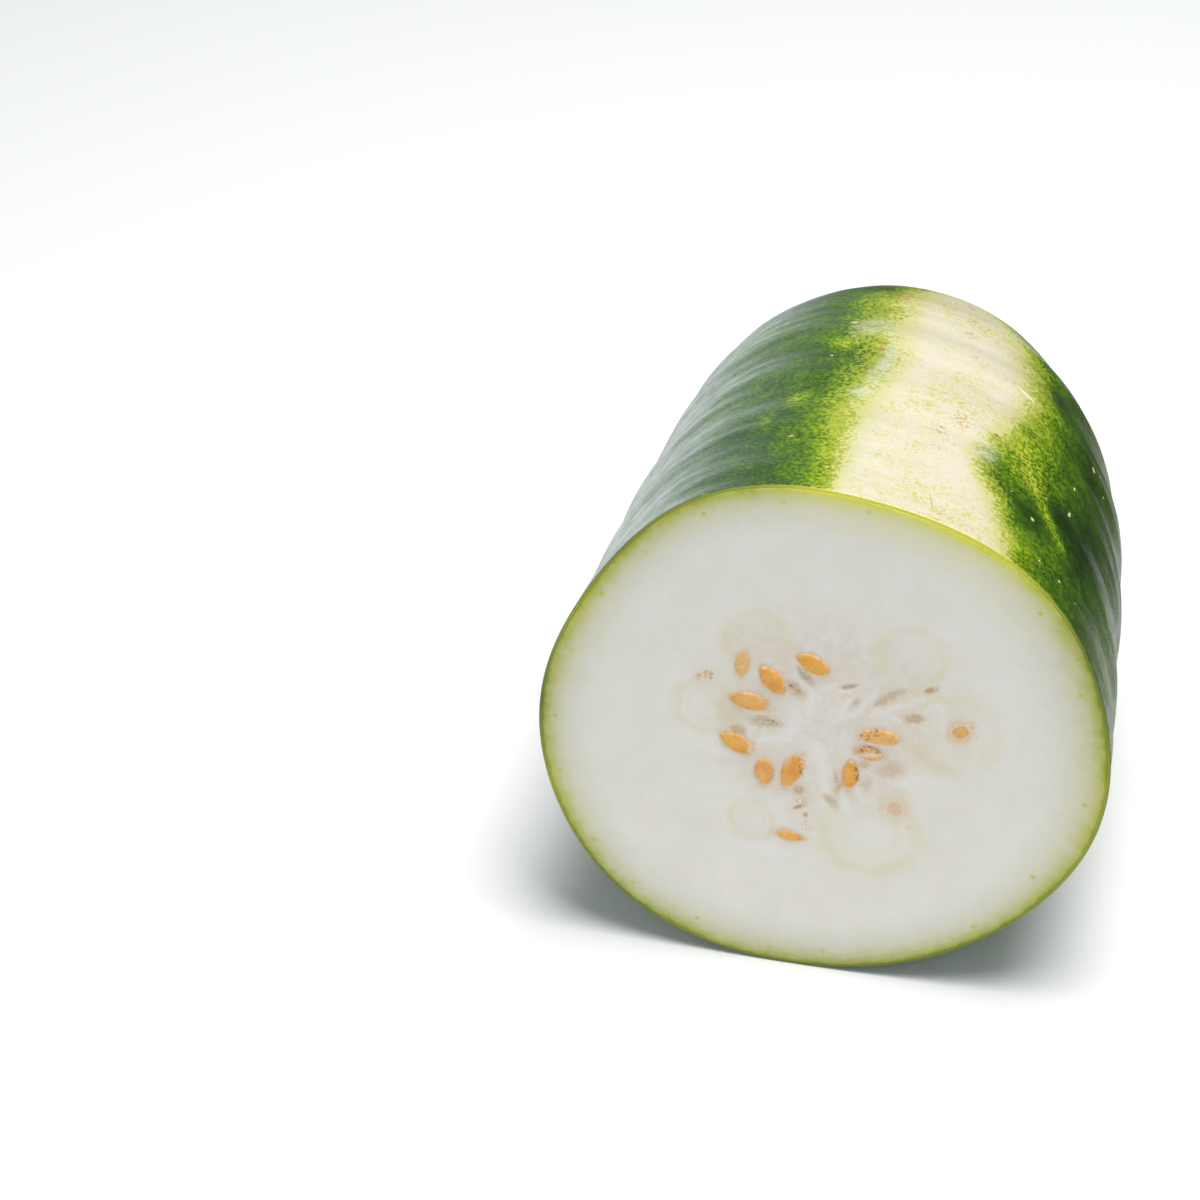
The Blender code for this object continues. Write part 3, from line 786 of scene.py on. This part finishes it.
def make_seeds(material):
    shapes = []
    margins = []
    for number, (*oval, proud, _) in enumerate(SEEDS):
        places, margin = seed_places(oval, proud, number)
        shapes.append((places, closed_faces(SEED_RINGS, SEED_STEPS)))
        margins.append(margin)
    places, faces = joined(shapes)
    right, up = places[:, 0], places[:, 2]
    values = {
        "margin": np.concatenate(margins),
        "veil": np.repeat([veil for *_, veil in SEEDS], len(margins[0])),
        "dark": oval_amount(right, up, DARK_PATCHES, 0.5, 1.3),
        "strand": strand_amount(right, up, noise_at(places, *MEDIUM_GRAIN)),
    }
    return add_piece("melon_seeds", places, faces, material, values)


def mark_places(bearing, along, length, width, turn):
    """A low closed oval that hugs the skin, thin at its edge."""
    turn_round = np.linspace(0, 2 * np.pi, MARK_STEPS, endpoint=False)
    ragged = 1 + 0.16 * np.sin(3 * turn_round + bearing)
    ragged += 0.1 * np.sin(5 * turn_round + along)
    lengthways = 0.5 * length * np.outer(MARK_WIDTHS, ragged * np.cos(turn_round))
    sideways = 0.5 * width * np.outer(MARK_WIDTHS, ragged * np.sin(turn_round))
    around, further = (with_poles(line, 0, 0) for line in turned(lengthways, sideways, turn))
    lift_rings = np.repeat(MARK_LIFTS[:, None], MARK_STEPS, axis=1)
    lift = with_poles(lift_rings, MARK_HEIGHT, MARK_UNDERSIDE)
    radius = radius_at(along + further)
    angle = radians(bearing) + around / radius
    places = skin_places(angle, along + further, radius, -lift)
    return places, closed_faces(len(MARK_WIDTHS), MARK_STEPS)


def all_marks():
    """The marks seen on the skin, and small specks strewn over all of it."""
    rng = np.random.default_rng(SPECK_SEED)
    marks = list(MARKS)
    for _ in range(SPECK_COUNT):
        length = rng.uniform(*SPECK_LENGTHS)
        width = length * rng.uniform(0.5, 0.9)
        bearing = rng.uniform(-180, 180)
        along = rng.uniform(*SPECK_REACH)
        turn = rng.uniform(-40, 40)
        marks.append((bearing, along, length, width, turn, rng.uniform(0, 0.5)))
    return marks


def make_marks(material):
    marks = all_marks()
    shapes = [mark_places(*oval) for *oval, _ in marks]
    places, faces = joined(shapes)
    values = {"tone": np.repeat([tone for *_, tone in marks], len(shapes[0][0]))}
    return add_piece("corky_marks", places, faces, material, values)


class Look:
    """A Principled material whose nodes are added one call at a time."""

    def __init__(self, name):
        self.material = bpy.data.materials.new(name)
        self.material.use_nodes = True
        self.tree = self.material.node_tree
        self.surface = self.tree.nodes["Principled BSDF"]
        self.place = self.growing_place()

    def add(self, kind, inputs, **settings):
        node = self.tree.nodes.new(kind)
        for name, value in settings.items():
            setattr(node, name, value)
        for socket, value in inputs.items():
            if isinstance(value, bpy.types.NodeSocket):
                self.tree.links.new(value, node.inputs[socket])
            else:
                node.inputs[socket].default_value = value
        return node

    def growing_place(self):
        """Object coordinates turned back into the growing frame, in metres."""
        source = self.add("ShaderNodeTexCoord", {})
        back = GROWING_TO_PART.inverted()
        mapping = {
            "Vector": source.outputs["Object"],
            "Location": back.translation,
            "Rotation": back.to_euler(),
        }
        return self.add("ShaderNodeMapping", mapping).outputs["Vector"]

    def stretched(self, factors):
        inputs = {0: self.place, 1: factors}
        return self.add("ShaderNodeVectorMath", inputs, operation="MULTIPLY").outputs["Vector"]

    def noise(self, place, scale, detail=2.0, roughness=0.5, distortion=0.0):
        names = ("Vector", "Scale", "Detail", "Roughness", "Distortion")
        inputs = zip(names, (place, scale, detail, roughness, distortion))
        return self.add("ShaderNodeTexNoise", dict(inputs)).outputs["Fac"]

    def spread(self, half_range, *noise_settings):
        """Noise stretched to run from 0 to 1."""
        return self.between(self.noise(*noise_settings), 0.5 - half_range, 0.5 + half_range)

    def value(self, name):
        return self.add("ShaderNodeAttribute", {}, attribute_name=name).outputs["Fac"]

    def math(self, operation, first, second, third=0.0):
        inputs = {0: first, 1: second, 2: third}
        return self.add("ShaderNodeMath", inputs, operation=operation).outputs["Value"]

    def times(self, first, second):
        return self.math("MULTIPLY", first, second)

    def total(self, start, *parts):
        """The start and each part, given as (value, weight), added up."""
        for value, weight in parts:
            start = self.math("MULTIPLY_ADD", value, weight, start)
        return start

    def blend(self, share, first, second):
        """One value at share 0 and the other at share 1."""
        return self.add("ShaderNodeMix", {0: share, 2: first, 3: second}).outputs[0]

    def between(self, value, low, high, to_low=0.0, to_high=1.0):
        names = ("Value", "From Min", "From Max", "To Min", "To Max")
        inputs = dict(zip(names, (value, low, high, to_low, to_high)))
        node = self.add("ShaderNodeMapRange", inputs, interpolation_type="SMOOTHSTEP")
        return node.outputs["Result"]

    def ramp(self, factor, stops):
        node = self.add("ShaderNodeValToRGB", {"Fac": factor})
        elements = node.color_ramp.elements
        while len(elements) < len(stops):
            elements.new(0.5)
        for element, (position, *colour) in zip(elements, stops):
            element.position = position
            element.color = (*colour, 1.0)
        return node.outputs["Color"]

    def over(self, under, upper, *amounts):
        """A colour laid over another by the product of the amounts, some of them named values."""
        amounts = [self.value(part) if isinstance(part, str) else part for part in amounts]
        under, upper = (
            (*colour, 1.0) if isinstance(colour, tuple) else colour for colour in (under, upper)
        )
        inputs = {0: reduce(self.times, amounts), 6: under, 7: upper}
        return self.add("ShaderNodeMix", inputs, data_type="RGBA").outputs[2]

    def finish(self, colour, roughness, constants=(), *bumps):
        """Link colour and roughness, set the constants, chain bumps of (height, distance)."""
        self.tree.links.new(colour, self.surface.inputs["Base Color"])
        self.tree.links.new(roughness, self.surface.inputs["Roughness"])
        for name, number in zip(SHADER_SOCKETS, constants):
            self.surface.inputs[name].default_value = number
        normal = None
        for height, distance in bumps:
            inputs = {"Height": height, "Distance": distance}
            if normal is not None:
                inputs["Normal"] = normal
            normal = self.add("ShaderNodeBump", inputs).outputs["Normal"]
        if normal is not None:
            self.tree.links.new(normal, self.surface.inputs["Normal"])
        return self.material


def skin_green(look, areas, blotches, speckle, mottle):
    """Green of the skin, dark to yellow-green, with a painted reflection haze where it is calm."""
    calm = look.value("calm")
    calm_mottle = look.total(0.14, (areas, 0.12), (blotches, 0.12), (speckle, 0.2))
    near_spot = look.between(look.value("spot_depth"), -0.022, 0.0)
    tint_share = look.between(speckle, 0.0, 1.0, 0.6, 1.4)
    skin = look.blend(calm, mottle, calm_mottle)
    skin = look.total(skin, (near_spot, 0.2), (look.value("tint"), tint_share))
    green = look.ramp(skin, SKIN_GREENS)
    # Painted reflection: a thin bluish haze over the calmest green stands in for the sheen of the
    # skin
    return look.over(green, PAINTED_HAZE, look.between(calm, 0.6, 1.0), 0.1)


def over_spot(look, green, areas, mottle, grains):
    """The pale ground spot laid over the green.

    Its border is speckled over a width that grows with its softness: green, yellow-green,
    olive-yellow and then cream.
    """
    half_width = look.between(look.value("softness"), 0.0, 1.0, 0.0018, 0.0075)
    uneven = look.math("SUBTRACT", areas, 0.5)
    border = look.total(look.value("spot_depth"), (uneven, 0.004))
    speckled = look.total(look.math("DIVIDE", border, half_width), (grains, 1.3))
    green = look.over(green, YELLOW_GREEN, look.between(speckled, -1.9, -0.5), 0.85)
    olive = look.over(green, OLIVE_YELLOW, look.between(speckled, -0.6, 0.3))
    return look.over(olive, look.ramp(mottle, SPOT_CREAMS), look.between(speckled, 0.0, 1.3))


def rind_material():
    """Mottled green skin with the pale ground spot, its stains and its wax."""
    look = Look("melon_rind")
    areas = look.spread(0.16, look.stretched((1.0, 0.8, 1.0)), 34.0, 3.0, 0.55, 0.4)
    blotches = look.spread(0.18, look.place, 170.0, 3.0, 0.6, 0.3)
    speckle = look.spread(0.15, look.place, 800.0, 2.0, 0.6)
    streaks = look.noise(look.stretched((1.0, 4.0, 1.0)), 70.0, 4.0, 0.6)
    mottle = look.total(0.1, (areas, 0.2), (blotches, 0.16), (speckle, 0.28))
    grains = look.total(-0.5, (speckle, 0.75), (blotches, 0.25))

    green = skin_green(look, areas, blotches, speckle, mottle)
    colour = over_spot(look, green, areas, mottle, grains)
    stain = look.times(look.value("stain"), look.between(grains, -0.08, 0.1))
    colour = look.over(colour, STAIN_BROWN, look.math("MINIMUM", stain, 0.95))
    colour = look.over(colour, WAX_WHITE, "wax", look.between(blotches, -0.3, 0.6), 0.72)
    tip = look.total(look.value("tip_distance"), (grains, 0.0022))
    colour = look.over(colour, TIP_RING, look.between(tip, 0.011, 0.005, 0.0, 0.7))
    scar = look.ramp(speckle, SCAR_BROWNS)
    colour = look.over(colour, scar, look.between(tip, 0.005, 0.0032))
    cut_edge = look.over(CUT_EDGE_GREEN, CUT_EDGE_YELLOW, "paleness")
    colour = look.over(colour, cut_edge, "inside")

    roughness = look.between(blotches, 0.0, 1.0, 0.29, 0.38)
    constants = (0.34, 0.03, 0.002)
    return look.finish(colour, roughness, constants, (streaks, 0.00028), (speckle, 0.00003))


def vessel_amount(look):
    """The green vessel ends that ring the cut, a small soft dot each."""
    amount = 0.0
    for bearing, radius, strength in VESSELS:
        turn = radians(bearing)
        inputs = {0: look.place, 1: (radius * np.cos(turn), 0.0, radius * np.sin(turn))}
        node = look.add("ShaderNodeVectorMath", inputs, operation="DISTANCE")
        distance = node.outputs["Value"]
        dot = look.between(distance, 1.5 * VESSEL_RADIUS, 0.3 * VESSEL_RADIUS, 0.0, strength)
        amount = look.math("MAXIMUM", dot, amount)
    return amount


def core_over(look, colour, grain, wisps):
    """The spongy middle laid over the flesh: lobes, strands, hollows, halos and specks."""
    colour = look.over(colour, look.ramp(wisps, CORE_CREAMS), "core", 0.85)
    colour = look.over(colour, LOBE_YELLOW, "lobe", 0.9)
    colour = look.over(colour, CORE_TAN, "tan", look.between(grain, -0.5, 0.8), 0.95)
    colour = look.over(colour, STRAND_WHITE, "strand", 0.65)
    colour = look.over(colour, HALO_TAN, "halo", look.between(grain, -0.3, 0.9), 0.85)
    brown = look.times(look.value("brown"), look.between(grain, -0.6, 0.7))
    colour = look.over(colour, look.ramp(brown, HOLLOW_BROWNS), look.between(brown, -0.1, 0.9))
    ragged = look.total(look.value("ragged"), (grain, 0.8))
    colour = look.over(colour, RAGGED_BROWN, look.between(ragged, 0.8, 1.35), 0.9)
    return look.over(colour, DARK_SPECK, "dark", look.between(grain, 0.5, 0.25), 0.75)


def flesh_material():
    """Moist off-white flesh, green towards the skin, with a spongy middle."""
    look = Look("melon_flesh")
    grain = look.spread(0.2, look.place, 1000.0, 3.0, 0.65)
    cloud = look.spread(0.2, look.place, 60.0, 4.0, 0.6)
    wisps = look.spread(0.25, look.place, 220.0, 3.0, 0.55, 0.2)
    colour = core_over(look, look.ramp(cloud, FLESH_WHITES), grain, wisps)

    rim = look.total(look.value("rim"), (cloud, 0.06), (wisps, 0.06), (grain, 0.02))
    rim = look.math("SUBTRACT", rim, 0.06)
    rim_colour = look.over(look.ramp(rim, GREEN_RIM), look.ramp(rim, PALE_RIM), "paleness")
    colour = look.over(colour, rim_colour, look.between(rim, 1.0, 0.5))
    colour = look.over(colour, VESSEL_GREEN, vessel_amount(look), 0.85)

    look.surface.inputs["Subsurface Radius"].default_value = (1.0, 0.9, 0.7)
    roughness = look.between(wisps, 0.0, 1.0, 0.34, 0.5)
    return look.finish(colour, roughness, (0.35, 0.3, 0.002), (grain, 0.00008))


def seed_material():
    """Smooth tan seeds, darker in patches, their margins lost in the flesh."""
    look = Look("melon_seed")
    fibres = look.spread(0.2, look.place, 700.0, 3.0, 0.65, 0.5)
    tone = look.spread(0.2, look.place, 170.0, 2.0, 0.5)
    grain = look.spread(0.2, look.place, 1000.0, 3.0, 0.65)
    colour = look.ramp(tone, SEED_TANS)
    colour = look.over(colour, SEED_FIBRE, look.between(fibres, 0.45, 1.0, 0.0, 0.3))
    margin = look.total(look.value("margin"), (grain, 0.3))
    colour = look.over(colour, SEED_FLESH, look.between(margin, 0.9, 1.35), 0.75)
    veil = look.total(look.value("veil"), (grain, 0.3))
    colour = look.over(colour, SEED_FLESH, look.between(veil, 0.15, 1.15))
    colour = look.over(colour, SEED_SPECK, "dark", look.between(grain, 0.5, 0.25), 0.8)
    colour = look.over(colour, SEED_STRAND, "strand", 0.7)
    roughness = look.between(fibres, 0.0, 1.0, 0.35, 0.55)
    return look.finish(colour, roughness, (0.3, 0.1, 0.001), (fibres, 0.0001))


def mark_material():
    """Dry corky skin, from pale to brown."""
    look = Look("corky_mark")
    grain = look.noise(look.place, 1500.0, 2.0, 0.5)
    tone = look.math("SUBTRACT", look.total(look.value("tone"), (grain, 0.4)), 0.2)
    roughness = look.between(grain, 0.3, 0.7, 0.6, 0.85)
    return look.finish(look.ramp(tone, CORK_TONES), roughness, (), (grain, 0.0001))


def plain_material(name, darkest, lightest, roughest, specular):
    """An almost even grey for the floor and the cards."""
    look = Look(name)
    shade = look.noise(look.place, 3.0)
    colour = look.ramp(shade, ((0.0, *(darkest,) * 3), (1.0, *(lightest,) * 3)))
    roughness = look.between(shade, 0.0, 1.0, roughest - 0.05, roughest)
    return look.finish(colour, roughness, (specular,))


def add_stage(name, corners, material):
    """A flat sheet that isn't part of the melon."""
    mesh = bpy.data.meshes.new(name)
    mesh.from_pydata(corners, [], [tuple(range(len(corners)))])
    mesh.materials.append(material)
    sheet = add_object(name, mesh)
    return sheet


def make_floor():
    half = 0.5 * FLOOR_SIZE
    sides = ((-half, -half), (half, -half), (half, half), (-half, half))
    material = plain_material("floor", 0.93, 0.94, 0.9, 0.1)
    add_stage("floor", [(x, y, -FLOOR_GAP) for x, y in sides], material)


def add_area_light(name, place, target, size, power, colour):
    light = bpy.data.lights.new(name, "AREA")
    light.shape = "RECTANGLE"
    light.size, light.size_y = size
    light.energy = power
    light.color = colour
    lamp = add_object(name, light)
    lamp.location = place
    lamp.rotation_euler = (Vector(target) - Vector(place)).to_track_quat("-Z", "Y").to_euler()
    lamp.visible_camera = False
    return lamp


def make_light():
    """A soft box above, a weaker one in front, a dim room, and a glow by the floor for gloss."""
    world = bpy.data.worlds.new("studio")
    world.use_nodes = True
    background = world.node_tree.nodes["Background"]
    background.inputs["Color"].default_value = ROOM_COLOUR
    background.inputs["Strength"].default_value = ROOM_STRENGTH
    bpy.context.scene.world = world
    for lamp in LAMPS:
        add_area_light(*lamp)
    glow = add_area_light(*FLOOR_GLOW)
    glow.visible_diffuse = False


def make_dark_cards():
    """Dark cards behind and on the right, which only reflections see, shape the skin's gloss."""
    material = plain_material("dark_card", 0.012, 0.016, 0.95, 0.5)
    for number, corners in enumerate(DARK_CARDS):
        card = add_stage(f"dark_card_{number}", corners, material)
        card.visible_camera = False
        card.visible_diffuse = False
        card.visible_shadow = False


def make_camera():
    camera = bpy.data.cameras.new("camera")
    camera.lens = CAMERA_LENS_MM
    camera.sensor_width = SENSOR_WIDTH_MM
    camera.clip_end = 100.0
    holder = add_object("camera", camera)
    holder.location = CUT_CENTRE + CAMERA_FROM_CUT
    holder.rotation_euler = CAMERA_TURN
    bpy.context.scene.camera = holder
    bpy.context.scene.view_settings.view_transform = "Standard"


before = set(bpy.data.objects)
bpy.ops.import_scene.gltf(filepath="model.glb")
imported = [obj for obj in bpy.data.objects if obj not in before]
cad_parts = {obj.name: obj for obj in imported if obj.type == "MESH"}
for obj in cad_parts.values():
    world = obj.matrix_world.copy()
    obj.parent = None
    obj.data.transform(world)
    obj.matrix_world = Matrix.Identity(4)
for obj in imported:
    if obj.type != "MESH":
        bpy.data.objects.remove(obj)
solid_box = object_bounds()
SOLID_LOW, SOLID_HIGH = (np.array(corner) for corner in solid_box)

make_camera()
make_light()
make_floor()
make_dark_cards()
make_rind(rind_material())
make_flesh(flesh_material())
make_seeds(seed_material())
make_marks(mark_material())
